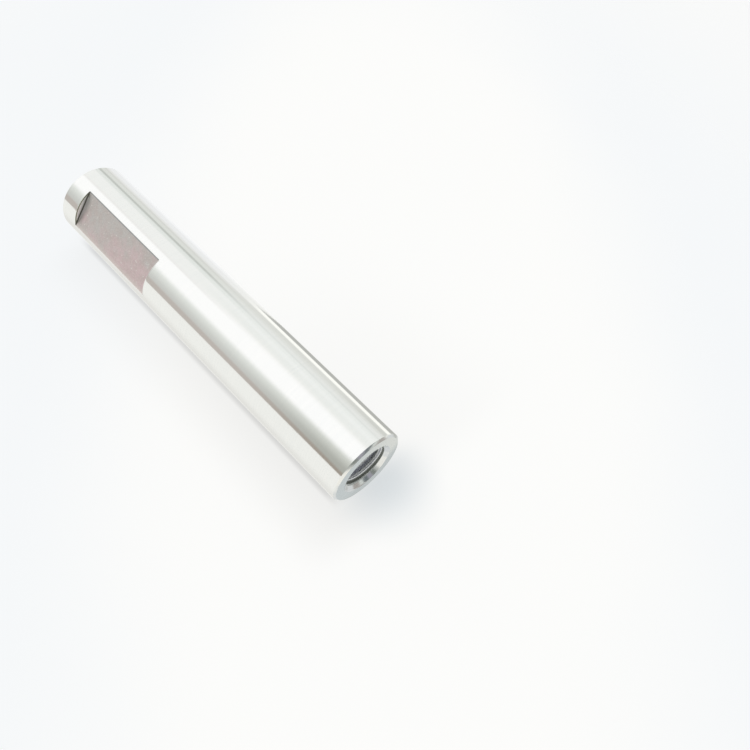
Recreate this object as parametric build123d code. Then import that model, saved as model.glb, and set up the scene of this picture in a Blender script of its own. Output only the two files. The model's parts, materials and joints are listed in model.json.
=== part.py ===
from build123d import *
import math
import os

# Ground round bar, standing on its plain end at z = 0, in millimetres
diameter = 20.0
length = 110.0
end_chamfer = 0.6

# Pair of wrench flats near the plain end, on the -Y and +Y sides
flat_depth = 1.5
flat_start = 6.5
flat_length = 31.0
flat_foot_radius = 0.2

# Blind hole for a metric screw in the upper end, at the size that the thread is cut from
thread_size = 12.0
thread_pitch = 1.75
thread_depth = 24.0
tap_run_out = 6.0
drill_point_angle = 118.0
countersink_margin = 1.0
countersink_angle = 90.0

# Sizes that follow from the ones above
flats_across = diameter - 2 * flat_depth
drill_radius = (thread_size - thread_pitch) / 2
mouth_radius = thread_size / 2 + countersink_margin


def depth_of_cone(radius, full_angle):
    """Height of a cone that has this radius at its base and this angle at its point."""
    return radius / math.tan(math.radians(full_angle / 2))


def ground_bar():
    """Plain cylinder with its two end edges broken at 45 degrees."""
    bar = Cylinder(diameter / 2, length, align=(Align.CENTER, Align.CENTER, Align.MIN))
    return chamfer(bar.edges().filter_by(GeomType.CIRCLE), end_chamfer)


def tapped_hole():
    """Countersunk mouth, tap drill's bore and the drill's conical point, as the solid to cut away."""
    countersink_bottom = length - depth_of_cone(mouth_radius - drill_radius, countersink_angle)
    drill_bottom = length - thread_depth - tap_run_out
    drill_tip = drill_bottom - depth_of_cone(drill_radius, drill_point_angle)
    half_section = Polyline(
        (0, 0, drill_tip),
        (drill_radius, 0, drill_bottom),
        (drill_radius, 0, countersink_bottom),
        (mouth_radius, 0, length),
        (0, 0, length),
        close=True,
    )
    return revolve(make_face(half_section), Axis.Z)


def flat_cutter():
    """Path of the cutter that mills one flat: a block with small radii at the foot of both end walls."""
    block = Box(diameter, diameter, flat_length, align=(Align.CENTER, Align.MIN, Align.MIN))
    floor = block.faces().sort_by(Axis.Y)[0]
    block = fillet(floor.edges().filter_by(Axis.X), flat_foot_radius)
    return Pos(0, flats_across / 2, flat_start) * block


def shaft():
    """One turned and milled bar: wrench flats near its foot and a tapped hole in its head."""
    cutter = flat_cutter()
    return ground_bar() - tapped_hole() - cutter - mirror(cutter, about=Plane.XZ)


os.makedirs("parts", exist_ok=True)
export_step(shaft(), "parts/shaft.step")
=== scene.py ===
import json
import math

import bmesh
import bpy
import numpy as np
from mathutils import Matrix, Vector


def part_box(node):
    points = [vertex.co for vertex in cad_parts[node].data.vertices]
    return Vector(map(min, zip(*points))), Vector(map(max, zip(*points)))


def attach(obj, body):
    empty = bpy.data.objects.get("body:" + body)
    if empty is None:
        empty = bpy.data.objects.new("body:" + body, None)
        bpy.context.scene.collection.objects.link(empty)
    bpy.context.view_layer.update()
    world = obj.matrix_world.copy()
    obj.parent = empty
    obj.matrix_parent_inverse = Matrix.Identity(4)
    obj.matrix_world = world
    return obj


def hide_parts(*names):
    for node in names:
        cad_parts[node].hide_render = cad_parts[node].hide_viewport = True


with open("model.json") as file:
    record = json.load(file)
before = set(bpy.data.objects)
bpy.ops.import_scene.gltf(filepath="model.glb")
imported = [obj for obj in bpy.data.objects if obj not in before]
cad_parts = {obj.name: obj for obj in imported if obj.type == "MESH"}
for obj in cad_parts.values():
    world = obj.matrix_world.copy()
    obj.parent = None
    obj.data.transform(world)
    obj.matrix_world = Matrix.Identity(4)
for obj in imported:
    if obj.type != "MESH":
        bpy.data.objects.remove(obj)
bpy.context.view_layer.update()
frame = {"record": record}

MM = 0.001

# Main sizes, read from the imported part
mounts = {mount["name"]: mount for mount in frame["record"]["mounts"]}
low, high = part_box("shaft")
RADIUS = (high.x - low.x) / 2
LENGTH = high.z
BORE_RADIUS = mounts["tapped_hole"]["dims"]["r_mm"] * MM
BORE_LENGTH = mounts["tapped_hole"]["dims"]["length_mm"] * MM
BORE_BOTTOM = mounts["tapped_hole"]["pos_m"][2] - BORE_LENGTH / 2
COUNTERSINK_BOTTOM = BORE_BOTTOM + BORE_LENGTH
MOUTH_RADIUS = BORE_RADIUS + LENGTH - COUNTERSINK_BOTTOM
FLAT_DEPTH_AT = abs(mounts["front_wrench_flat"]["pos_m"][1])
FLAT_MIDDLE = mounts["front_wrench_flat"]["pos_m"][2]

# Sizes that the record doesn't give, as in the solid
END_CHAMFER = 0.6 * MM
FLAT_LENGTH = 31.0 * MM
FLAT_FOOT_RADIUS = 0.2 * MM
DRILL_POINT_ANGLE = math.radians(118)

# Metric thread in the bore
THREAD_PITCH = 1.75 * MM
THREAD_OUTER_RADIUS = 6.0 * MM
THREAD_ROOT_WIDTH = THREAD_PITCH / 8
THREAD_FLANK_ANGLE = math.radians(30)
THREAD_DEPTH = 24.0 * MM
THREAD_RUN_OUT = 2.5 * MM
THREAD_CORNER_RADIUS = 0.12 * MM
THREAD_START = 1.43 * MM

# Half width of the thread's groove at the bore's wall, from the middle of its root to the edge of the crest
THREAD_EDGE = THREAD_ROOT_WIDTH / 2 + (THREAD_OUTER_RADIUS - BORE_RADIUS) * math.tan(THREAD_FLANK_ANGLE)

# Broken edges, too small for the solid
EDGE_RADIUS = 0.08 * MM
END_EDGE_RADIUS = 0.16 * MM
FLAT_EDGE_RADIUS = 0.15 * MM

# Height at which the countersink's cone begins
HOLE_TOP = LENGTH - EDGE_RADIUS / 2

# Fineness of the mesh on each flat and on the round between the flats
FLAT_COLUMNS = 32
ROUND_COLUMNS = 60

# Steps of the mesh round a broken edge, and round the foot of the flats' end walls
EDGE_STEPS = 3
FOOT_STEPS = 6

# The way the shaft lies in the picture: how far above the table's plane its front wrench flat faces
LIE_ANGLE = math.radians(43.1)
UP = Vector((-math.cos(LIE_ANGLE), -math.sin(LIE_ANGLE), 0))
SIDE = Vector((math.sin(LIE_ANGLE), -math.cos(LIE_ANGLE), 0))

# The shaded lower part of the tapped end's face: its angle from SIDE, and the way to it from the axis
LOWER_RIM_ANGLE = math.radians(-110)
LOWER_RIM = math.cos(LOWER_RIM_ANGLE) * SIDE + math.sin(LOWER_RIM_ANGLE) * UP

# Ways along the axes of a piece's own coordinates or of the world
X_WAY = (1.0, 0.0, 0.0)
Y_WAY = (0.0, 1.0, 0.0)
Z_WAY = (0.0, 0.0, 1.0)

# Outline of the wrench flats
FLAT_LOW = FLAT_MIDDLE - FLAT_LENGTH / 2
FLAT_HIGH = FLAT_MIDDLE + FLAT_LENGTH / 2
FLAT_HALF_WIDTH = math.sqrt(RADIUS**2 - FLAT_DEPTH_AT**2)

# Material slots of the mesh
GROUND, TURNED, MILLED, BORED = range(4)


def arc_steps(steps):
    """Fractions from 0 to 1 in equal steps, both ends included."""
    return [step / steps for step in range(steps + 1)]


def rounded(outline, radius, steps=EDGE_STEPS):
    """The same open outline of (r, z) points with each inner corner turned into a small arc."""
    points = [outline[0]]
    for before, corner, after in zip(outline, outline[1:], outline[2:]):
        back = (Vector(before) - Vector(corner)).normalized()
        on = (Vector(after) - Vector(corner)).normalized()
        half = back.angle(on) / 2
        centre = Vector(corner) + (back + on).normalized() * radius / math.sin(half)
        start = Vector(corner) + back * radius / math.tan(half) - centre
        end = Vector(corner) + on * radius / math.tan(half) - centre
        for share in arc_steps(steps):
            points.append(tuple(centre + start.lerp(end, share).normalized() * radius))
    points.append(outline[-1])
    return points


def half_angle_of(depth):
    """Half of the angle that a flat at this distance from the axis cuts out of the round."""
    return math.acos(min(1.0, depth / RADIUS))


def column_angles(half_angle):
    """Angles of the mesh's columns round the shaft, closest at the edges of the two flats."""
    edge = FLAT_EDGE_RADIUS / RADIUS
    angles = []
    for middle in (-math.pi / 2, math.pi / 2):
        flat = np.linspace(middle - half_angle + edge, middle + half_angle - edge, FLAT_COLUMNS + 1)
        round_start = middle + half_angle + edge
        round_end = middle + math.pi - half_angle - edge
        angles += [middle - half_angle, *flat, middle + half_angle]
        angles += list(np.linspace(round_start, round_end, ROUND_COLUMNS + 1))
    return np.array(angles)


NOMINAL_ANGLES = column_angles(half_angle_of(FLAT_DEPTH_AT))
COLUMNS = len(NOMINAL_ANGLES)


def ring(radius, z, angles=NOMINAL_ANGLES):
    """One ring of points round the axis. Radius and height may be numbers or arrays."""
    return np.stack([radius * np.cos(angles), radius * np.sin(angles), np.zeros(COLUMNS) + z], axis=1)


def from_flat_middle(angles):
    """Angle of each column from the middle of the flat that is nearest to it."""
    return np.abs((angles % math.pi) - math.pi / 2)


def flatted_ring(depth, z):
    """Ring cut by two flats at this distance from the axis, with its four corners just broken."""
    half_angle = half_angle_of(depth)
    angles = column_angles(half_angle)
    away = from_flat_middle(angles)
    radius = np.minimum(RADIUS, depth / np.cos(np.minimum(away, half_angle)))
    corner_cut = FLAT_EDGE_RADIUS * (1 / math.cos(half_angle / 2) - 1)
    radius[np.isclose(away, half_angle)] -= corner_cut
    return ring(radius, z, angles)


def end_wall_rings(wall_z, into):
    """Rings of the end wall of the flats at height wall_z, from the round outside down to the flat.

    The flat lies on the +Z side of the wall where into is 1, and on its -Z side where into is -1.
    """
    wall_foot = FLAT_DEPTH_AT + FLAT_FOOT_RADIUS
    half_angle = half_angle_of(wall_foot)
    angles = column_angles(half_angle)
    away = np.minimum(from_flat_middle(angles), half_angle)
    wall_height = RADIUS - wall_foot / np.cos(away)
    bevel = np.minimum(EDGE_RADIUS, wall_height / 3)
    outside = []
    for share in arc_steps(EDGE_STEPS):
        turn = share * math.pi / 2
        radius = RADIUS - bevel * (1 - math.cos(turn))
        outside.append(ring(radius, wall_z - into * bevel * (1 - math.sin(turn)), angles))
    fillet = []
    for share in arc_steps(FOOT_STEPS):
        turn = share * math.pi / 2
        depth = wall_foot - FLAT_FOOT_RADIUS * math.sin(turn)
        fillet.append(flatted_ring(depth, wall_z + into * FLAT_FOOT_RADIUS * (1 - math.cos(turn))))
    return outside, fillet


def thread_profile():
    """One pitch of the thread in section, corners rounded: places along the axis, and radii."""
    outline = [
        (THREAD_OUTER_RADIUS, 0),
        (THREAD_OUTER_RADIUS, THREAD_ROOT_WIDTH / 2),
        (BORE_RADIUS, THREAD_EDGE),
        (BORE_RADIUS, THREAD_PITCH / 2),
    ]
    # The corner at the root, and then the one at the crest, which is twice as round
    half = rounded(outline[:3], THREAD_CORNER_RADIUS / 2, steps=2)[:-1]
    half += rounded(outline[1:], THREAD_CORNER_RADIUS)[1:]
    places = [z for _, z in half] + [THREAD_PITCH - z for _, z in reversed(half[:-1])]
    radii = [r for r, _ in half] + [r for r, _ in reversed(half[:-1])]
    return np.array(places), np.array(radii)


def countersink_radius(z):
    """Radius of the countersink's 45 degree cone at height z."""
    return MOUTH_RADIUS - (LENGTH - z)


def cut_by_both(z, thread):
    """Radii of the hole that the thread, of the given radii, and the countersink cut together.

    The points next to the line where the two cross are moved on to it, in z as well.
    """
    over = thread - countersink_radius(z)
    radius = np.maximum(thread, countersink_radius(z))
    for row in range(len(z) - 1):
        crossing = (over[row] * over[row + 1] < 0) & (z[row] > z[row + 1])
        share = np.where(crossing, over[row] / np.where(crossing, over[row] - over[row + 1], 1), 0)
        z_cross = z[row] + share * (z[row + 1] - z[row])
        for target, near in ((row, share < 0.5), (row + 1, share >= 0.5)):
            move = crossing & near
            z[target] = np.where(move, z_cross, z[target])
            radius[target] = np.where(move, countersink_radius(z_cross), radius[target])
    return radius


def hole_rows():
    """Rows of points from the countersink's mouth down the threaded bore, and their number per pitch.

    They follow the thread's helix, so each row is one pitch higher after a full turn.
    """
    places, radii = thread_profile()
    rows_per_turn = len(places) - 1
    thread_end = LENGTH - THREAD_DEPTH
    bottom = thread_end - THREAD_RUN_OUT
    rise = THREAD_PITCH * ((NOMINAL_ANGLES - NOMINAL_ANGLES[0]) / (2 * math.pi))[None, :]
    turns_down = math.ceil((HOLE_TOP + THREAD_START - bottom) / THREAD_PITCH) + 1
    down = [places[:-1] + turn * THREAD_PITCH for turn in range(turns_down)]
    down.append([turns_down * THREAD_PITCH])
    offsets = THREAD_START - np.concatenate(down)
    z = np.clip(HOLE_TOP + offsets[:, None] + rise, bottom, HOLE_TOP)
    phase = (HOLE_TOP + THREAD_START + rise - z) % THREAD_PITCH
    run_out = np.clip((z - bottom) / (thread_end + THREAD_RUN_OUT - bottom), 0, 1)
    thread = BORE_RADIUS + (np.interp(phase, places, radii) - BORE_RADIUS) * run_out
    radius = cut_by_both(z, thread)
    return [ring(*row) for row in zip(radius, z)], rows_per_turn


class MeshBuilder:
    """Collects rings of points and the faces between them."""

    def __init__(self):
        self.points = []
        self.faces = []
        self.materials = []

    def add_rings(self, rings):
        first = len(self.points)
        for one in rings:
            self.points.extend(map(tuple, one))
        return first

    def add_face(self, corners, material):
        self.faces.append(corners)
        self.materials.append(material)

    def strip(self, rings, material, seam_rows=0):
        """Faces between rings, which follow each other with the outside on the right of their way in (r, z).

        With seam_rows, each ring joins on to the one that many rows before it after a full turn. The material
        is one slot, or one for each column.
        """
        first = self.add_rings(rings)
        materials = np.broadcast_to(material, COLUMNS).tolist()
        for row in range(len(rings) - 1):
            for column in range(COLUMNS):
                after = (column + 1) % COLUMNS
                shift = seam_rows if after == 0 else 0
                corners = (
                    first + row * COLUMNS + column,
                    first + max(row - shift, 0) * COLUMNS + after,
                    first + max(row + 1 - shift, 0) * COLUMNS + after,
                    first + (row + 1) * COLUMNS + column,
                )
                self.add_face(corners, materials[column])

    def fan(self, one_ring, tip, material):
        """Faces from a ring to one point on the axis."""
        first = self.add_rings([one_ring])
        self.points.append(tip)
        for column in range(COLUMNS):
            after = (column + 1) % COLUMNS
            self.add_face((first + column, first + after, first + COLUMNS), material)


def in_flat_columns():
    """Whether each face column lies between the corners of a flat."""
    half_angle = half_angle_of(FLAT_DEPTH_AT)
    middles = (NOMINAL_ANGLES + np.roll(NOMINAL_ANGLES, -1)) / 2
    middles[-1] = (NOMINAL_ANGLES[-1] + NOMINAL_ANGLES[0] + 2 * math.pi) / 2
    return from_flat_middle(middles) < half_angle


def shaft_mesh():
    """The whole shaft as one closed mesh, with the thread that the solid leaves out."""
    build = MeshBuilder()
    near_wall = 3 * FLAT_FOOT_RADIUS
    face_radius = RADIUS - END_CHAMFER

    foot_outline = [
        (face_radius / 2, 0),
        (face_radius, 0),
        (RADIUS, END_CHAMFER),
        (RADIUS, FLAT_LOW - near_wall),
    ]
    foot_rings = [ring(r, z) for r, z in rounded(foot_outline, END_EDGE_RADIUS)]
    build.fan(foot_rings[0][::-1], (0, 0, 0), TURNED)
    build.strip(foot_rings[:-1], TURNED)
    build.strip(foot_rings[-2:], GROUND)

    on_flat = np.where(in_flat_columns(), MILLED, GROUND)
    lower_outside, lower_fillet = end_wall_rings(FLAT_LOW, 1)
    upper_outside, upper_fillet = end_wall_rings(FLAT_HIGH, -1)
    build.strip([foot_rings[-1], lower_outside[0]], GROUND)
    build.strip(lower_outside, GROUND)
    build.strip([lower_outside[-1], *lower_fillet, *upper_fillet[::-1], upper_outside[-1]], on_flat)
    build.strip(upper_outside[::-1], GROUND)

    head_outline = [
        (RADIUS, FLAT_HIGH + near_wall),
        (RADIUS, LENGTH - END_CHAMFER),
        (face_radius, LENGTH),
        (MOUTH_RADIUS, LENGTH),
    ]
    head_rings = [ring(r, z) for r, z in rounded(head_outline, END_EDGE_RADIUS)[:-1]]
    mouth_edge = ring(MOUTH_RADIUS + EDGE_RADIUS / 2, LENGTH)
    build.strip([upper_outside[0], head_rings[0]], GROUND)
    build.strip(head_rings[:3], GROUND)
    build.strip([*head_rings[2:], mouth_edge], TURNED)

    rows, rows_per_turn = hole_rows()
    build.strip([mouth_edge, rows[0]], TURNED)
    build.strip(rows, BORED, seam_rows=rows_per_turn)
    drill_tip = BORE_BOTTOM - BORE_RADIUS / math.tan(DRILL_POINT_ANGLE / 2)
    half_way = ring(BORE_RADIUS / 2, (BORE_BOTTOM + drill_tip) / 2)
    build.strip([rows[-1], ring(BORE_RADIUS, BORE_BOTTOM), half_way], BORED)
    build.fan(half_way, (0, 0, drill_tip), BORED)
    return build


def finish_mesh(build, name, weld=0.002 * MM, sharp_angle=math.radians(35)):
    """Blender object from the collected faces, welded.

    Edges are crisp where faces meet at a large angle, and the two plane end faces are shaded flat.
    """
    mesh = bpy.data.meshes.new(name)
    mesh.from_pydata(build.points, [], build.faces)
    mesh.polygons.foreach_set("material_index", build.materials)
    work = bmesh.new()
    work.from_mesh(mesh)
    bmesh.ops.remove_doubles(work, verts=work.verts, dist=weld)
    bmesh.ops.dissolve_degenerate(work, edges=work.edges, dist=weld / 10)
    bmesh.ops.recalc_face_normals(work, faces=work.faces)
    for edge in work.edges:
        edge.smooth = len(edge.link_faces) == 2 and edge.calc_face_angle(0) < sharp_angle
    for face in work.faces:
        face.smooth = any(weld < corner.co.z < LENGTH - weld for corner in face.verts)
    work.to_mesh(mesh)
    work.free()
    piece = bpy.data.objects.new(name, mesh)
    bpy.context.scene.collection.objects.link(piece)
    weighted = piece.modifiers.new("normals", "WEIGHTED_NORMAL")
    weighted.keep_sharp = True
    return piece


# The range that noise mostly keeps to, a narrower one for firmer marks, and the depth of marks on the metals
NOISE_RANGE = (0.3, 0.7)
FIRM_RANGE = (0.35, 0.65)
MARK_DEPTH = 0.02 * MM


class NodeTree:
    """Short-hand for building a node tree."""

    def __init__(self, owner):
        owner.use_nodes = True
        self.tree = owner.node_tree
        self.tree.nodes.clear()

    def add(self, kind, inputs=None, **settings):
        node = self.tree.nodes.new(kind)
        for key, value in settings.items():
            setattr(node, key, value)
        for key, value in (inputs or {}).items():
            self.set(node.inputs[key], value)
        return node

    def set(self, socket, value):
        if isinstance(value, bpy.types.NodeSocket):
            self.tree.links.new(value, socket)
        else:
            socket.default_value = value

    def math(self, operation, *values):
        node = self.add("ShaderNodeMath", dict(enumerate(values)), operation=operation)
        return node.outputs[0]

    def dot(self, vector, direction):
        node = self.add("ShaderNodeVectorMath", {0: vector, 1: direction}, operation="DOT_PRODUCT")
        return node.outputs["Value"]

    def ramp(self, value, start, end, low_value=0.0, high_value=1.0):
        """Smooth step of value from low_value at start to high_value at end."""
        inputs = {
            "Value": value,
            "From Min": start,
            "From Max": end,
            "To Min": low_value,
            "To Max": high_value,
        }
        node = self.add("ShaderNodeMapRange", inputs, interpolation_type="SMOOTHSTEP")
        return node.outputs["Result"]

    def spread(self, noise, low_value=0.0, high_value=1.0):
        """Noise stretched from its usual range to the one between the two values."""
        return self.ramp(noise, *NOISE_RANGE, low_value, high_value)

    def step_at(self, value, middle, softness, low_value=0.0, high_value=1.0):
        """Smooth step of value, as wide as the softness and centred on middle."""
        return self.ramp(value, middle - softness / 2, middle + softness / 2, low_value, high_value)

    def band(self, value, start, end, soft_start, soft_end):
        """1 between start and end, fading over the soft widths that are centred on each."""
        rise = self.step_at(value, start, soft_start)
        fall = self.step_at(value, end, soft_end, 1.0, 0.0)
        return self.math("MULTIPLY", rise, fall)

    def mix(self, factor, first, second):
        """Mix of two colours, by the mix node's colour sockets: inputs 6 and 7, and output 2."""
        node = self.add("ShaderNodeMix", data_type="RGBA", clamp_factor=True)
        self.set(node.inputs[0], factor)
        for socket, value in ((node.inputs[6], first), (node.inputs[7], second)):
            self.set(socket, value if isinstance(value, bpy.types.NodeSocket) else (*value, 1.0))
        return node.outputs[2]

    def noise(self, vector, scale, detail=2.0, roughness=0.5):
        inputs = {"Vector": vector, "Scale": scale, "Detail": detail, "Roughness": roughness}
        return self.add("ShaderNodeTexNoise", inputs).outputs["Fac"]

    def stretched(self, vector, scale):
        node = self.add("ShaderNodeVectorMath", {0: vector, 1: scale}, operation="MULTIPLY")
        return node.outputs[0]

    def bump(self, height, strength):
        inputs = {"Height": height, "Strength": strength, "Distance": MARK_DEPTH}
        return self.add("ShaderNodeBump", inputs).outputs["Normal"]


def metal(name, colour_of, roughness_of, bump_of, metallic_of=None):
    """Bare steel whose colour, roughness and surface marks come from the functions given."""
    material = bpy.data.materials.new(name)
    nodes = NodeTree(material)
    place = nodes.add("ShaderNodeTexCoord").outputs["Object"]
    shader = nodes.add("ShaderNodeBsdfPrincipled", {"Metallic": 1.0})
    nodes.set(shader.inputs["Base Color"], colour_of(nodes, place))
    nodes.set(shader.inputs["Roughness"], roughness_of(nodes, place))
    nodes.set(shader.inputs["Normal"], bump_of(nodes, place))
    if metallic_of:
        nodes.set(shader.inputs["Metallic"], metallic_of(nodes, place))
    output = nodes.add("ShaderNodeOutputMaterial")
    nodes.set(output.inputs["Surface"], shader.outputs[0])
    return material


def ring_marks(nodes, place, width, across):
    """Noise in thin rings round the shaft's axis, scaled by across in the two ways square to it."""
    vector = nodes.stretched(place, (across, across, 1.0))
    return nodes.noise(vector, 1 / width, detail=3.0)


# Ground steel: the two tones of its marks, and the tone, size and share of the clouds over them
GROUND_TONES = ((0.865, 0.87, 0.865), (0.89, 0.89, 0.88))
GROUND_CLOUD = (0.875, 0.88, 0.872)
GROUND_CLOUD_SIZE = 6 * MM
GROUND_CLOUD_SHARE = 0.5
GROUND_ROUGHNESS = (0.07, 0.12)


def ground_material():
    """Cylindrically ground outside: bright, with very fine marks round the axis."""

    def colour(nodes, place):
        marks = ring_marks(nodes, place, width=0.25 * MM, across=0.02)
        cloud = nodes.noise(place, 1 / GROUND_CLOUD_SIZE, detail=3.0)
        tone = nodes.mix(nodes.ramp(marks, *FIRM_RANGE), *GROUND_TONES)
        return nodes.mix(nodes.spread(cloud, 0.0, GROUND_CLOUD_SHARE), tone, GROUND_CLOUD)

    def roughness(nodes, place):
        marks = ring_marks(nodes, place, width=0.3 * MM, across=0.03)
        return nodes.spread(marks, *GROUND_ROUGHNESS)

    def bump(nodes, place):
        return nodes.bump(ring_marks(nodes, place, width=0.12 * MM, across=0.02), strength=0.06)

    return metal("ground", colour, roughness, bump)


def distance_from_axis(nodes, place):
    """Distance of a place on the shaft from its axis."""
    flat_place = nodes.stretched(place, (1.0, 1.0, 0.0))
    return nodes.add("ShaderNodeVectorMath", {0: flat_place}, operation="LENGTH").outputs["Value"]


# Tones of the turned steel: painted light on the far side and painted shade on the viewer's side, painted
# shade on the lower part, marks, painted shade on the rim, and the chamfer
TURNED_SIDE_PAINTED_SHADES = ((0.92, 0.925, 0.85), (0.69, 0.74, 0.73))
TURNED_LOWER = (0.60, 0.645, 0.635)
TURNED_MARKS = (0.55, 0.57, 0.58)
TURNED_RIM = (0.50, 0.52, 0.49)
TURNED_CHAMFER = (0.89, 0.90, 0.88)
TURNED_ROUGHNESS = (0.16, 0.24)

# Where those tones change: to both sides of the axis, down the face, inside its edge and on to the chamfer
TURNED_SIDE_REACH = 8 * MM
TURNED_LOWER_RANGE = (1.2 * MM, 6.5 * MM)
TURNED_RIM_WIDTH = 0.5 * MM
TURNED_CHAMFER_FADE = 0.1 * MM

# Shares of the shaded part, of the marks and of the rim at their strongest
TURNED_LOWER_SHARE = 0.9
TURNED_MARKS_SHARE = 0.12
TURNED_RIM_SHARE = 0.6

# Share of the shaded part at which the chamfer's tone is gone
CHAMFER_GONE_AT = 0.3


def turned_material():
    """Turned end faces and chamfers: fine rings about the axis, with painted shade on the viewer's side, on
    the lower part and along the rim.
    """

    def rings(nodes, place, width):
        radius = distance_from_axis(nodes, place)
        vector = nodes.add("ShaderNodeCombineXYZ", {"X": radius, "Z": nodes.dot(place, Z_WAY)})
        return nodes.noise(vector.outputs[0], 1 / width, detail=2.0)

    def colour(nodes, place):
        radius = distance_from_axis(nodes, place)
        face_edge = RADIUS - END_CHAMFER
        # Painted shade: darker on the viewer's side of the face, lighter on the far side
        viewer_side_shade = nodes.ramp(nodes.dot(place, SIDE), -TURNED_SIDE_REACH, TURNED_SIDE_REACH)
        tone = nodes.mix(viewer_side_shade, *TURNED_SIDE_PAINTED_SHADES)
        # Painted shade on the lower part of the face and along its rim
        lower = nodes.ramp(nodes.dot(place, LOWER_RIM), *TURNED_LOWER_RANGE)
        tone = nodes.mix(nodes.math("MULTIPLY", lower, TURNED_LOWER_SHARE), tone, TURNED_LOWER)
        marks = nodes.spread(rings(nodes, place, width=0.2 * MM), 0.0, TURNED_MARKS_SHARE)
        tone = nodes.mix(marks, tone, TURNED_MARKS)
        rim = nodes.ramp(radius, face_edge - TURNED_RIM_WIDTH, face_edge, 0.0, TURNED_RIM_SHARE)
        tone = nodes.mix(nodes.math("MULTIPLY", rim, lower), tone, TURNED_RIM)
        chamfer = nodes.ramp(radius, face_edge, face_edge + TURNED_CHAMFER_FADE)
        upper = nodes.ramp(lower, 0.0, CHAMFER_GONE_AT, 1.0, 0.0)
        return nodes.mix(nodes.math("MULTIPLY", chamfer, upper), tone, TURNED_CHAMFER)

    def roughness(nodes, place):
        return nodes.spread(rings(nodes, place, width=0.3 * MM), *TURNED_ROUGHNESS)

    def bump(nodes, place):
        return nodes.bump(rings(nodes, place, width=0.12 * MM), strength=0.15)

    return metal("turned", colour, roughness, bump)


# Tones of the milled steel: grey and a painted pink reflection, patches, light and dark grain, and specks
MILLED_GREY_AND_PAINTED_PINK = ((0.745, 0.735, 0.735), (0.85, 0.70, 0.735))
MILLED_PATCH = (0.70, 0.62, 0.61)
GRAIN_LIGHT = (0.95, 0.91, 0.90)
GRAIN_DARK = (0.52, 0.49, 0.49)
SPECK_LIGHT = (1.0, 0.98, 0.97)
MILLED_ROUGHNESS = (0.30, 0.38)

# Sizes of the pink, the patches, the grain and the specks
PINK_SIZE = 5 * MM
PATCH_SIZE = 1.6 * MM
GRAIN_SIZE = 0.3 * MM
SPECK_SIZE = 0.55 * MM

# How fast the painted pink reflection grows across the flat and up it, and the range over which it shows
PINK_ACROSS = 0.035 / MM
PINK_UP = 0.006 / MM
PINK_RANGE = (0.46, 0.84)

# Ramps of the other marks, by two values of the noise and the share of the tone at each
PATCH_RAMP = (*FIRM_RANGE, 0.45, 0.0)
GRAIN_LIGHT_RAMP = (0.52, 0.70, 0.0, 0.30)
GRAIN_DARK_RAMP = (0.30, 0.48, 0.25, 0.0)
SPECK_RAMP = (0.69, 0.75, 0.0, 0.8)


def milled_tone(nodes, place, across, height):
    """Grey steel with a painted pink reflection, patches, fine grain and bright specks."""
    cloud = nodes.noise(place, 1 / PINK_SIZE, detail=4.0)
    # Painted pink reflection, growing across the flat and up it
    drift = nodes.math("MULTIPLY_ADD", across, PINK_ACROSS, nodes.math("MULTIPLY", height, PINK_UP))
    pink = nodes.ramp(nodes.math("ADD", cloud, drift), *PINK_RANGE)
    tone = nodes.mix(pink, *MILLED_GREY_AND_PAINTED_PINK)
    patch = nodes.noise(place, 1 / PATCH_SIZE, detail=3.0, roughness=0.6)
    tone = nodes.mix(nodes.ramp(patch, *PATCH_RAMP), tone, MILLED_PATCH)
    grain = nodes.noise(place, 1 / GRAIN_SIZE, detail=2.0)
    tone = nodes.mix(nodes.ramp(grain, *GRAIN_LIGHT_RAMP), tone, GRAIN_LIGHT)
    tone = nodes.mix(nodes.ramp(grain, *GRAIN_DARK_RAMP), tone, GRAIN_DARK)
    speck = nodes.noise(place, 1 / SPECK_SIZE, detail=1.0)
    return nodes.mix(nodes.ramp(speck, *SPECK_RAMP), tone, SPECK_LIGHT)


# Shade at the foot of a flat, full as far as FOOT_SHADE_MIDDLE from the flat's middle and weaker at its sides
FOOT_SHADE = (0.33, 0.33, 0.36)
FOOT_SHADE_HEIGHT = 2.6 * MM
FOOT_SHADE_SHARE = 0.75
FOOT_SHADE_MIDDLE = 1.5 * MM
FOOT_SHADE_AT_SIDES = 0.25

# Light along a flat's lower edge and shade along its upper one, and how far in from the edge they reach
LOWER_EDGE_LIGHT = (0.95, 0.93, 0.90)
LOWER_EDGE_WIDTH = 1.6 * MM
LOWER_EDGE_SHARE = 0.5
UPPER_EDGE_SHADE = (0.40, 0.42, 0.44)
UPPER_EDGE_START = 0.45 * MM
UPPER_EDGE_FULL = 0.1 * MM


def with_edge_shades(nodes, tone, across, height):
    """The flat's tone with the shade at its foot and the light and dark lines along its edges."""
    aside = nodes.math("ABSOLUTE", across)
    foot_shade = nodes.ramp(height, FLAT_LOW, FLAT_LOW + FOOT_SHADE_HEIGHT, FOOT_SHADE_SHARE, 0.0)
    sideways = nodes.ramp(aside, FOOT_SHADE_MIDDLE, FLAT_HALF_WIDTH, 1.0, FOOT_SHADE_AT_SIDES)
    tone = nodes.mix(nodes.math("MULTIPLY", foot_shade, sideways), tone, FOOT_SHADE)
    lower_edge_start = FLAT_HALF_WIDTH - LOWER_EDGE_WIDTH
    lower_edge = nodes.ramp(across, lower_edge_start, FLAT_HALF_WIDTH, 0.0, LOWER_EDGE_SHARE)
    tone = nodes.mix(lower_edge, tone, LOWER_EDGE_LIGHT)
    long_edge = nodes.ramp(aside, FLAT_HALF_WIDTH - UPPER_EDGE_START, FLAT_HALF_WIDTH - UPPER_EDGE_FULL)
    upper = nodes.ramp(across, 0.0, 1 * MM, 1.0, 0.0)
    return nodes.mix(nodes.math("MULTIPLY", long_edge, upper), tone, UPPER_EDGE_SHADE)


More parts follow.
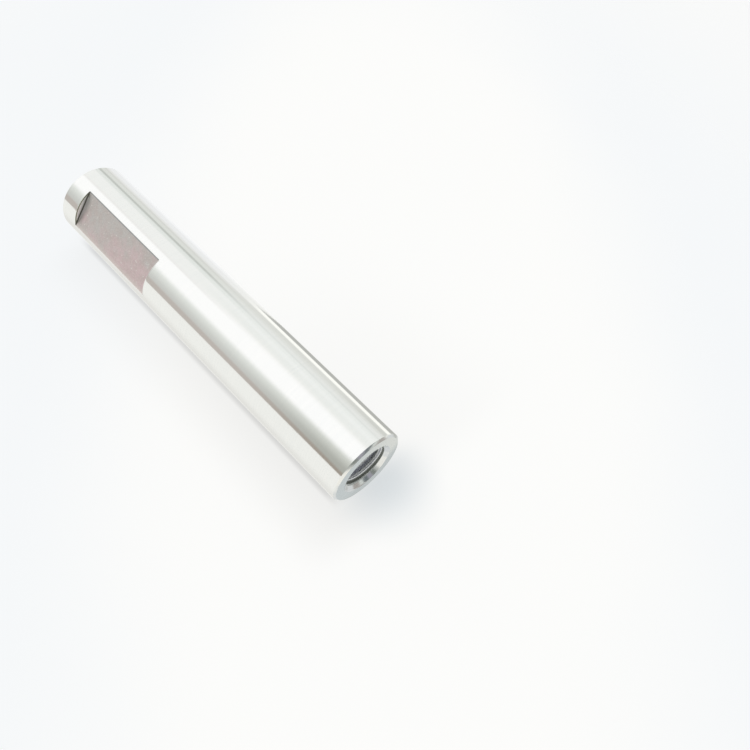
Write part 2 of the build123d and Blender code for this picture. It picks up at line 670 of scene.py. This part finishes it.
# Tone of a flat's end wall, painted shade along its rim, and painted shade in the corner at the lower wall's
# foot
WALL_TONE_AND_PAINTED_RIM_SHADE = ((0.98, 0.99, 0.96), (0.22, 0.24, 0.13))
WALL_FOOT_PAINTED_SHADE = (0.12, 0.12, 0.10)

# Where the wall and its rim begin, by the distance from the plane between the flats and from the axis
WALL_RANGE = (FLAT_DEPTH_AT + 0.1 * MM, FLAT_DEPTH_AT + 0.3 * MM)
WALL_RIM_RANGE = (RADIUS - 0.5 * MM, RADIUS - 0.25 * MM)

# Heights between which the painted shade at the lower wall's foot fades
FOOT_LINE_RANGE = (FLAT_LOW + 0.1 * MM, FLAT_LOW + 0.45 * MM)


def with_end_walls(nodes, place, tone, height):
    """The flat's tone with that of its two end walls, with painted shade along their rims and in the corner
    where the lower one meets the flat.
    """
    depth = nodes.math("ABSOLUTE", nodes.dot(place, Y_WAY))
    in_wall = nodes.ramp(depth, *WALL_RANGE)
    # Painted shade along the rim of each end wall
    rim = nodes.ramp(distance_from_axis(nodes, place), *WALL_RIM_RANGE)
    tone = nodes.mix(in_wall, tone, nodes.mix(rim, *WALL_TONE_AND_PAINTED_RIM_SHADE))
    # Painted shade in the corner at the lower wall's foot
    foot = nodes.ramp(height, *FOOT_LINE_RANGE, 1.0, 0.0)
    low_on_wall = nodes.ramp(depth, *WALL_RANGE, 1.0, 0.0)
    return nodes.mix(nodes.math("MULTIPLY", foot, low_on_wall), tone, WALL_FOOT_PAINTED_SHADE)


# Sizes of the marks in the milled steel's sheen and of its bumps, which are drawn out along the shaft
MILLED_SHEEN_SIZE = 0.5 * MM
MILLED_BUMP_SIZE = 0.15 * MM
MILLED_BUMP_STRETCH = (1.0, 1.0, 0.1)


def milled_material():
    """Matte milled flats: a faint painted pink reflection, patches, fine specks, and painted shade at the
    lower wall's foot.
    """

    def colour(nodes, place):
        across = nodes.dot(place, X_WAY)
        height = nodes.dot(place, Z_WAY)
        tone = milled_tone(nodes, place, across, height)
        tone = with_edge_shades(nodes, tone, across, height)
        return with_end_walls(nodes, place, tone, height)

    def roughness(nodes, place):
        return nodes.spread(nodes.noise(place, 1 / MILLED_SHEEN_SIZE), *MILLED_ROUGHNESS)

    def bump(nodes, place):
        marks = nodes.noise(nodes.stretched(place, MILLED_BUMP_STRETCH), 1 / MILLED_BUMP_SIZE, detail=2.0)
        return nodes.bump(marks, strength=0.25)

    return metal("milled", colour, roughness, bump)


# Tones and roughness of the countersink's marks
CONE_TONES = ((0.80, 0.82, 0.81), (0.86, 0.87, 0.86))
CONE_ROUGHNESS = (0.12, 0.2)

# Tones of the thread, from its root to its crest: painted shade in the first turn, and lighter tones deeper
FIRST_TURN_PAINTED_SHADES = ((0.13, 0.14, 0.12), (0.42, 0.43, 0.47))
DEEP_TONES = ((0.50, 0.51, 0.58), (0.95, 0.96, 1.0))
ABOVE_ROOT_TONE = (0.50, 0.52, 0.50)
# Painted highlight on the thread crests' edges
CREST_PAINTED_HIGHLIGHT = (0.98, 0.99, 0.97)
THREAD_ROUGHNESS = 0.5
THREAD_METALLIC = 0.15

# Depths at which the deeper tones are full, and at which they begin, and their share
FIRST_TURN_FADE = (3.2 * MM, 2.6 * MM)
DEEP_SHARE = 0.9

# Distances past the thread's own radius, inside the crests' edges and below the root over which tones change
THREAD_FADE = (0.02 * MM, 0.06 * MM)
CREST_FADE = 0.3 * MM
ABOVE_ROOT_FADE = (-0.06 * MM, 0.09 * MM)

# Painted highlights as bright lines at the crests' two edges, by their start and end below the nearest root,
# and their softness
CREST_HIGHLIGHT_LINES = (
    (THREAD_EDGE - 0.13 * MM, THREAD_EDGE),
    (-THREAD_EDGE - 0.24 * MM, -THREAD_EDGE + 0.04 * MM),
)
CREST_LINE_SOFTNESS = 0.04 * MM


def bored_material():
    """Bright countersink, and a dull thread with painted shade in its first turn and thin painted highlights
    on its crests' edges.
    """

    def thread_of(nodes, place):
        """1 on the thread and 0 on the countersink."""
        past_thread = nodes.math("SUBTRACT", distance_from_axis(nodes, place), THREAD_OUTER_RADIUS)
        return nodes.ramp(past_thread, *THREAD_FADE, 1.0, 0.0)

    def below_root_of(nodes, place):
        """Distance down the axis from the middle of the nearest root of the thread, negative above it."""
        x, y, z = (nodes.dot(place, axis) for axis in (X_WAY, Y_WAY, Z_WAY))
        rise = nodes.math("MULTIPLY", nodes.math("ARCTAN2", y, x), THREAD_PITCH / (2 * math.pi))
        start = HOLE_TOP + THREAD_START - THREAD_PITCH * NOMINAL_ANGLES[0] / (2 * math.pi)
        down = nodes.math("ADD", nodes.math("SUBTRACT", rise, z), start)
        return nodes.math("WRAP", down, THREAD_PITCH / 2, -THREAD_PITCH / 2)

    def colour(nodes, place):
        marks = nodes.spread(ring_marks(nodes, place, width=0.2 * MM, across=0.05))
        cone = nodes.mix(marks, *CONE_TONES)
        below_root = below_root_of(nodes, place)
        from_root = nodes.math("ABSOLUTE", below_root)
        near_crest = nodes.ramp(from_root, THREAD_EDGE - CREST_FADE, THREAD_EDGE)
        # Painted shade in the thread's first turn
        cut = nodes.mix(near_crest, *FIRST_TURN_PAINTED_SHADES)
        above_root = nodes.ramp(below_root, *ABOVE_ROOT_FADE, 1.0, 0.0)
        cut = nodes.mix(above_root, cut, ABOVE_ROOT_TONE)
        fade_start, fade_end = (LENGTH - depth for depth in FIRST_TURN_FADE)
        deep = nodes.ramp(nodes.dot(place, Z_WAY), fade_start, fade_end, 1.0, 0.0)
        deep_tone = nodes.mix(near_crest, *DEEP_TONES)
        cut = nodes.mix(nodes.math("MULTIPLY", deep, DEEP_SHARE), cut, deep_tone)
        # Painted highlights along both edges of each crest
        for start, end in CREST_HIGHLIGHT_LINES:
            line = nodes.band(below_root, start, end, CREST_LINE_SOFTNESS, CREST_LINE_SOFTNESS)
            cut = nodes.mix(line, cut, CREST_PAINTED_HIGHLIGHT)
        return nodes.mix(thread_of(nodes, place), cone, cut)

    def roughness(nodes, place):
        marks = nodes.spread(ring_marks(nodes, place, width=0.2 * MM, across=0.05), *CONE_ROUGHNESS)
        thread = nodes.math("MULTIPLY", thread_of(nodes, place), THREAD_ROUGHNESS)
        return nodes.math("MAXIMUM", marks, thread)

    def bump(nodes, place):
        return nodes.bump(ring_marks(nodes, place, width=0.1 * MM, across=0.05), strength=0.1)

    def metallic(nodes, place):
        return nodes.math("MULTIPLY_ADD", thread_of(nodes, place), THREAD_METALLIC - 1.0, 1.0)

    return metal("bored", colour, roughness, bump, metallic)


def build_shaft():
    """The finished shaft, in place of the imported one."""
    piece = finish_mesh(shaft_mesh(), "shaft_finished")
    for material in (ground_material(), turned_material(), milled_material(), bored_material()):
        piece.data.materials.append(material)
    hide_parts("shaft")
    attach(piece, "root")


# White behind the shaft for the camera, and the mirrored table, which is dimmer at its edge
BACKDROP_WHITE = (0.95, 0.955, 0.95)
TABLE_EDGE = (0.835, 0.83, 0.795)
TABLE_WHITE = (0.962, 0.965, 0.93)

# Light by its angle round the shaft's axis in degrees: 0 is level on the viewer's side, and 90 is up
TABLE_EDGE_FADE = (-78.0, -30.0)

# The turn that those angles make, by its end and start, for light from the side and on the tapped end
SIDE_TURN = (270.0, -90.0)
END_TURN = (315.0, -45.0)

# Bands of light, each with its start, its end, the softness of both and its colour
BANDS_NEAR_TAPPED_END = (
    (35, 108, 4, 24, (1.11, 1.11, 1.105)),
    (112, 128, 16, 4, (0.935, 0.955, 0.93)),
    (128, 140, 4, 6, (0.965, 0.985, 0.965)),
    (140, 149, 6, 3, (0.925, 0.95, 0.925)),
    (149, 155, 3, 3, (0.835, 0.86, 0.835)),
    (155, 164, 3, 4, (0.885, 0.90, 0.875)),
    (164, 172, 4, 5, (0.83, 0.845, 0.81)),
    (172, 188, 5, 4, (0.79, 0.80, 0.76)),
)
BANDS_NEAR_FLATS = (
    (35, 99, 4, 7, (1.11, 1.11, 1.105)),
    (99, 106, 6, 6, (0.955, 0.95, 0.935)),
    (106, 139, 6, 5, (0.975, 0.985, 0.965)),
    (139, 151, 5, 4, (0.86, 0.89, 0.86)),
    (151, 160, 4, 5, (0.58, 0.605, 0.57)),
    (160, 170, 5, 4, (0.80, 0.82, 0.78)),
    (170, 180, 4, 6, (0.75, 0.76, 0.725)),
    (180, 188, 6, 6, (0.87, 0.875, 0.86)),
    (188, 212, 6, 6, (0.93, 0.94, 0.945)),
    (212, 262, 6, 8, (0.985, 0.995, 1.005)),
)

# Reach of light along the shaft, -1 past the plain end and 1 past the tapped end, where the bands change
BANDS_CHANGE = (-0.60, -0.49)

# Darker band on the far side, beside the tapped end only
LAST_BAND = (172.0, 190.0, 10.0, 4.0)
LAST_BAND_START = (-0.40, -0.30)
LAST_BAND_COLOUR = (0.50, 0.51, 0.47)
LAST_BAND_SHARE = 0.3

# Dark room low on the viewer's side: its colours near the flats, and then near the tapped end
ROOM_LOW = ((0.56, 0.515, 0.48), (0.38, 0.335, 0.29))
ROOM_MIDDLE = ((0.645, 0.655, 0.625), (0.46, 0.47, 0.43))
ROOM_HIGH = ((0.83, 0.855, 0.815), (0.69, 0.71, 0.66))
ROOM_CHANGE = (-0.50, -0.30)

# Angle in the room where the low colour gives way to the middle one, and how softly
ROOM_STEP = 19
ROOM_STEP_SOFTNESS = 8.0

# Angles below the room's upper edge between which the high colour takes over
ROOM_HIGH_FADE = (32.0, 2.0)

# Reach of light along the shaft up to which the room's edges follow it
ROOM_REACH = -0.25

# Lower edge of the room in degrees, on a line that slants with that reach
ROOM_FOOT = 17.3
ROOM_FOOT_SLOPE = 25.0
ROOM_FOOT_SOFTNESS = 1.5

# Upper edge of the room in degrees, on a parabola that is lowest at ROOM_TOP_AT
ROOM_TOP = 54.0
ROOM_TOP_AT = -0.56
ROOM_TOP_BEND = 90.0
ROOM_TOP_SOFTNESS = 18.0

# Bright glint below level on the far side
GLINT_BAND = (190.5, 204.0, 3.0, 2.0)
GLINT_START = (-0.522, -0.502)
GLINT = (1.12, 1.12, 1.06)

# Grey strip below the glint, which ends on a slanting line
STRIP_BAND = (206.0, 240.0, 3.0, 8.0)
STRIP_END = 716.0
STRIP_END_SLOPE = 1000.0
STRIP_END_SOFTNESS = 4.0
STRIP = (0.50, 0.505, 0.48)

# Light on the tapped end's face, in a narrow band and then in a broad one as its reach along the shaft grows
HEAD_LIGHT = (0.72, 0.735, 0.745)
HEAD_NARROW_BAND = (232.0, 285.0, 12.0, 12.0)
HEAD_NARROW_START = (-0.15, 0.0)
HEAD_BROAD_BAND = (195.0, 300.0, 10.0, 14.0)
HEAD_BROAD_START = (0.18, 0.28)

# Room beyond the tapped end, for light that comes nearly along the shaft
END_ROOM_START = (0.50, 0.62)
END_ROOM = (
    (-45, 8, 10, 12, (0.95, 0.93, 0.88)),
    (8, 32, 12, 8, (0.50, 0.51, 0.49)),
    (32, 76, 8, 8, (0.22, 0.24, 0.22)),
    (76, 116, 8, 8, (0.36, 0.35, 0.40)),
    (116, 152, 8, 6, (0.17, 0.19, 0.20)),
    (152, 170, 6, 6, (0.72, 0.75, 0.72)),
    (170, 200, 6, 8, (0.42, 0.39, 0.37)),
)


def band_stack(nodes, angle, base, bands):
    """Base colour with the given bands laid over it by angle, one after the other."""
    for start, end, soft_start, soft_end, colour in bands:
        base = nodes.mix(nodes.band(angle, start, end, soft_start, soft_end), base, colour)
    return base


def side_light(nodes, angle, along):
    """Bands that the round outside mirrors. They change between the flats and the tapped end."""
    table = nodes.mix(nodes.ramp(angle, *TABLE_EDGE_FADE), TABLE_EDGE, TABLE_WHITE)
    near_tapped_end = band_stack(nodes, angle, table, BANDS_NEAR_TAPPED_END)
    near_flats = band_stack(nodes, angle, table, BANDS_NEAR_FLATS)
    colour = nodes.mix(nodes.ramp(along, *BANDS_CHANGE), near_flats, near_tapped_end)
    last = nodes.math("MULTIPLY", nodes.ramp(along, *LAST_BAND_START), nodes.band(angle, *LAST_BAND))
    return nodes.mix(nodes.math("MULTIPLY", last, LAST_BAND_SHARE), colour, LAST_BAND_COLOUR)


def with_dark_room(nodes, colour, angle, along):
    """The light with a dark room low on the viewer's side."""
    change = nodes.ramp(along, *ROOM_CHANGE)
    low, middle, high = (nodes.mix(change, *pair) for pair in (ROOM_LOW, ROOM_MIDDLE, ROOM_HIGH))
    reach = nodes.math("MINIMUM", along, ROOM_REACH)
    above_foot = nodes.math("SUBTRACT", angle, nodes.math("MULTIPLY_ADD", reach, ROOM_FOOT_SLOPE, ROOM_FOOT))
    bend = nodes.math("POWER", nodes.math("ABSOLUTE", nodes.math("SUBTRACT", reach, ROOM_TOP_AT)), 2.0)
    below_top = nodes.math("SUBTRACT", nodes.math("MULTIPLY_ADD", bend, ROOM_TOP_BEND, ROOM_TOP), angle)
    room = nodes.mix(nodes.step_at(angle, ROOM_STEP, ROOM_STEP_SOFTNESS), low, middle)
    room = nodes.mix(nodes.ramp(below_top, *ROOM_HIGH_FADE), room, high)
    over_foot = nodes.step_at(above_foot, 0.0, ROOM_FOOT_SOFTNESS)
    under_top = nodes.step_at(below_top, 0.0, ROOM_TOP_SOFTNESS)
    return nodes.mix(nodes.math("MULTIPLY", over_foot, under_top), colour, room)


def with_glint_and_strip(nodes, colour, angle, along):
    """The light with a bright glint and a grey strip below level on the far side."""
    glint = nodes.math("MULTIPLY", nodes.band(angle, *GLINT_BAND), nodes.ramp(along, *GLINT_START))
    past_end = nodes.math("SUBTRACT", angle, nodes.math("MULTIPLY_ADD", along, STRIP_END_SLOPE, STRIP_END))
    before_end = nodes.step_at(past_end, 0.0, STRIP_END_SOFTNESS, 1.0, 0.0)
    strip = nodes.math("MULTIPLY", nodes.band(angle, *STRIP_BAND), before_end)
    return nodes.mix(strip, nodes.mix(glint, colour, GLINT), STRIP)


def with_end_light(nodes, colour, degrees, along):
    """The light with what the tapped end's face, chamfer and countersink mirror."""
    full_turn = nodes.math("WRAP", degrees, *END_TURN)
    narrow_band = nodes.band(full_turn, *HEAD_NARROW_BAND)
    broad_band = nodes.band(full_turn, *HEAD_BROAD_BAND)
    narrow = nodes.math("MULTIPLY", narrow_band, nodes.ramp(along, *HEAD_NARROW_START))
    broad = nodes.math("MULTIPLY", broad_band, nodes.ramp(along, *HEAD_BROAD_START))
    colour = nodes.mix(nodes.math("MAXIMUM", narrow, broad), colour, HEAD_LIGHT)
    end_room = band_stack(nodes, full_turn, HEAD_LIGHT, END_ROOM)
    return nodes.mix(nodes.ramp(along, *END_ROOM_START), colour, end_room)


def lighting():
    """Studio light as a world: bands along the shaft for what it mirrors, and white for the camera."""
    world = bpy.data.worlds.new("studio")
    bpy.context.scene.world = world
    nodes = NodeTree(world)
    direction = nodes.add("ShaderNodeTexCoord").outputs["Generated"]
    up = nodes.dot(direction, UP)
    side = nodes.dot(direction, SIDE)
    along = nodes.dot(direction, Z_WAY)
    degrees = nodes.math("MULTIPLY", nodes.math("ARCTAN2", up, side), 180 / math.pi)
    angle = nodes.math("WRAP", degrees, *SIDE_TURN)

    colour = side_light(nodes, angle, along)
    colour = with_dark_room(nodes, colour, angle, along)
    colour = with_glint_and_strip(nodes, colour, angle, along)
    colour = with_end_light(nodes, colour, degrees, along)

    paths = nodes.add("ShaderNodeLightPath")
    colour = nodes.mix(paths.outputs["Is Camera Ray"], colour, BACKDROP_WHITE)
    background = nodes.add("ShaderNodeBackground", {"Color": colour, "Strength": 1.0})
    output = nodes.add("ShaderNodeOutputWorld")
    nodes.set(output.inputs["Surface"], background.outputs[0])


# White table: a square card below the shaft's middle, its X to the viewer's side and its Y along the shaft
TABLE_SIZE = 520 * MM
TABLE_FADE_START = 130 * MM
TABLE_FADE_END = 250 * MM
TABLE_GLOW = 1.03
TABLE_PAPER_SHARE = 0.14

# Painted light on the table: lighter in its middle and dimmer, bluer in its outer parts, and how far out the
# one gives way to the other
TABLE_PAINTED_FALLOFF = ((0.975, 0.975, 0.965), (0.92, 0.937, 0.952))
TABLE_MIDDLE = (-35 * MM, 80 * MM)
TABLE_FALLOFF_FADE = (53 * MM, 103 * MM)
TABLE_CLOUD_SIZE = 60 * MM
TABLE_CLOUD_REACH = 16 * MM

# The line through the table's middle across which distances count less
TABLE_LINE_SLOPE = math.radians(137)
TABLE_LINE_STRETCH = 0.4

# Shades on the table by colour and share: close by the shaft, wide, and in a pool at the tapped end
LINE_SHADE = (0.10, 0.10, 0.09)
LINE_SHARE = 0.24
WIDE_SHADE = (0.10, 0.08, 0.05)
WIDE_SHARE = 0.10
POOL_SHADE = (0.17, 0.31, 0.42)
POOL_SHARE = 0.245

# Bands of the close shade, to the side and up the shaft, each with start, end and the softness of both
LINE_SIDES = (0.0, 8.9 * MM, 1 * MM, 1.6 * MM)
LINE_HEIGHTS = (3 * MM, LENGTH - 3 * MM, 10 * MM, 6 * MM)

# Band of the wide shade up the shaft, its share at the shaft's foot, and where it fades on the viewer's side
WIDE_HEIGHTS = (2 * MM, LENGTH + 6 * MM, 12 * MM, 12 * MM)
WIDE_AT_FOOT = 0.42
WIDE_NEAR_FADE = (9 * MM, 27 * MM)

# Where the wide shade drops on the far side and where it ends there, and its share between the two by height
WIDE_FAR_DROP = (-16 * MM, -5 * MM)
WIDE_FAR_FADE = (-60 * MM, -16 * MM)
WIDE_FAR_SHARES = (30 * MM, 85 * MM, 0.03, 0.35)

# The pool's middle, the distances from it between which it fades, and the heights between which it begins
POOL_MIDDLE = (-3.5 * MM, LENGTH + 2.5 * MM)
POOL_FADE = (1 * MM, 16.5 * MM)
POOL_START = (LENGTH - 6 * MM, LENGTH + 1 * MM)


def card_distance(nodes, place, x, z, stretch=1.0, slope=0.0):
    """Distance from the point of the card at x beside the shaft and at height z.

    Across a line that rises at the given slope it counts by the stretch only.
    """
    along_line = Vector((math.cos(slope), math.sin(slope), 0))
    across_line = Vector((-math.sin(slope), math.cos(slope), 0)) * stretch
    centre = Vector((x, z - LENGTH / 2, 0))
    parts = [
        nodes.math("SUBTRACT", nodes.dot(place, direction), direction.dot(centre))
        for direction in (along_line, across_line)
    ]
    vector = nodes.add("ShaderNodeCombineXYZ", {"X": parts[0], "Y": parts[1]}).outputs[0]
    return nodes.add("ShaderNodeVectorMath", {0: vector}, operation="LENGTH").outputs["Value"]


def table_painted_light(nodes, place):
    """White with painted light, brighter in its middle, and the soft painted shades that lie on the table
    beside the shaft and beyond its tapped end.
    """
    side = nodes.dot(place, X_WAY)
    height = nodes.math("ADD", nodes.dot(place, Y_WAY), LENGTH / 2)

    cloud = nodes.math("MULTIPLY", nodes.noise(place, 1 / TABLE_CLOUD_SIZE), TABLE_CLOUD_REACH)
    from_middle = card_distance(nodes, place, *TABLE_MIDDLE, TABLE_LINE_STRETCH, TABLE_LINE_SLOPE)
    outwards = nodes.ramp(nodes.math("ADD", from_middle, cloud), *TABLE_FALLOFF_FADE)
    # Painted light: lighter in the table's middle, dimmer and bluer further out
    tint = nodes.mix(outwards, *TABLE_PAINTED_FALLOFF)

    line = nodes.math("MULTIPLY", nodes.band(side, *LINE_SIDES), nodes.band(height, *LINE_HEIGHTS))
    far_share = nodes.ramp(height, *WIDE_FAR_SHARES)
    wide = nodes.ramp(side, *WIDE_NEAR_FADE, 1.0, 0.0)
    wide = nodes.math("MULTIPLY", wide, nodes.band(height, *WIDE_HEIGHTS))
    wide = nodes.math("MULTIPLY", wide, nodes.ramp(height, 0.0, LENGTH, WIDE_AT_FOOT, 1.0))
    wide = nodes.math("MULTIPLY", wide, nodes.ramp(side, *WIDE_FAR_DROP, far_share, 1.0))
    wide = nodes.math("MULTIPLY", wide, nodes.ramp(side, *WIDE_FAR_FADE))
    pool = nodes.ramp(card_distance(nodes, place, *POOL_MIDDLE), *POOL_FADE, 1.0, 0.0)
    pool = nodes.math("MULTIPLY", pool, nodes.ramp(height, *POOL_START))
    tint = nodes.mix(nodes.math("MULTIPLY", wide, WIDE_SHARE), tint, WIDE_SHADE)
    tint = nodes.mix(nodes.math("MULTIPLY", pool, POOL_SHARE), tint, POOL_SHADE)
    return nodes.mix(nodes.math("MULTIPLY", line, LINE_SHARE), tint, LINE_SHADE)


def table_material():
    """White card that glows. It fades out far from the shaft, and shows from its front only."""
    material = bpy.data.materials.new("table_white")
    nodes = NodeTree(material)
    place = nodes.add("ShaderNodeTexCoord").outputs["Object"]
    from_centre = card_distance(nodes, place, 0.0, LENGTH / 2)
    fade = nodes.ramp(from_centre, TABLE_FADE_START, TABLE_FADE_END, 1.0, 0.0)
    geometry = nodes.add("ShaderNodeNewGeometry")
    front = nodes.math("SUBTRACT", 1.0, geometry.outputs["Backfacing"])
    shown = nodes.math("MULTIPLY", fade, front)

    tint = table_painted_light(nodes, place)
    paper = nodes.add("ShaderNodeBsdfDiffuse", {"Color": tint}).outputs[0]
    glow = nodes.add("ShaderNodeEmission", {"Color": tint, "Strength": TABLE_GLOW}).outputs[0]
    lit = nodes.add("ShaderNodeMixShader", {0: TABLE_PAPER_SHARE, 1: glow, 2: paper}).outputs[0]
    clear = nodes.add("ShaderNodeBsdfTransparent").outputs[0]
    mixed = nodes.add("ShaderNodeMixShader", {0: shown, 1: clear, 2: lit}).outputs[0]
    output = nodes.add("ShaderNodeOutputMaterial")
    nodes.set(output.inputs["Surface"], mixed)
    return material


def square_card(name, size, turn, material):
    """Square sheet whose front faces its own +Z. It throws no shade and isn't mirrored."""
    mesh = bpy.data.meshes.new(name)
    half = size / 2
    corners = [(-half, -half, 0), (half, -half, 0), (half, half, 0), (-half, half, 0)]
    mesh.from_pydata(corners, [], [(0, 1, 2, 3)])
    mesh.materials.append(material)
    card = bpy.data.objects.new(name, mesh)
    bpy.context.scene.collection.objects.link(card)
    card.matrix_world = turn
    card.visible_glossy = False
    card.visible_shadow = False


def build_stage():
    """The white table that the shaft lies on in the picture, touching it along its length."""
    turn = Matrix((SIDE, Vector((0, 0, 1)), UP)).transposed().to_4x4()
    turn.translation = -UP * RADIUS + Vector((0, 0, LENGTH / 2))
    square_card("table", TABLE_SIZE, turn, table_material())


# The camera, by what it looks at, from where and how it is turned about its line of sight
CAMERA_AIM = Vector((-14.99, 7.12, 95.8)) * MM
CAMERA_DISTANCE = 172.3 * MM
CAMERA_AZIMUTH = math.radians(-24.01)
CAMERA_ELEVATION = math.radians(20.785)
CAMERA_ROLL = math.radians(132.765)
CAMERA_LENS = 35.77
CAMERA_SENSOR_WIDTH = 36
CAMERA_CLIP_START = 1 * MM


def build_camera():
    """Camera that sees the shaft as the picture shows it."""
    back = Vector((
        math.sin(CAMERA_AZIMUTH) * math.cos(CAMERA_ELEVATION),
        -math.cos(CAMERA_AZIMUTH) * math.cos(CAMERA_ELEVATION),
        math.sin(CAMERA_ELEVATION),
    ))
    level = Vector((math.cos(CAMERA_AZIMUTH), math.sin(CAMERA_AZIMUTH), 0))
    upright = back.cross(level)
    right = level * math.cos(CAMERA_ROLL) + upright * math.sin(CAMERA_ROLL)
    data = bpy.data.cameras.new("camera")
    data.lens = CAMERA_LENS
    data.sensor_width = CAMERA_SENSOR_WIDTH
    data.clip_start = CAMERA_CLIP_START
    camera = bpy.data.objects.new("camera", data)
    bpy.context.scene.collection.objects.link(camera)
    camera.matrix_world = Matrix((right, back.cross(right), back)).transposed().to_4x4()
    camera.location = CAMERA_AIM + back * CAMERA_DISTANCE
    bpy.context.scene.camera = camera


build_shaft()
lighting()
build_stage()
build_camera()
bpy.context.scene.view_settings.view_transform = "Standard"
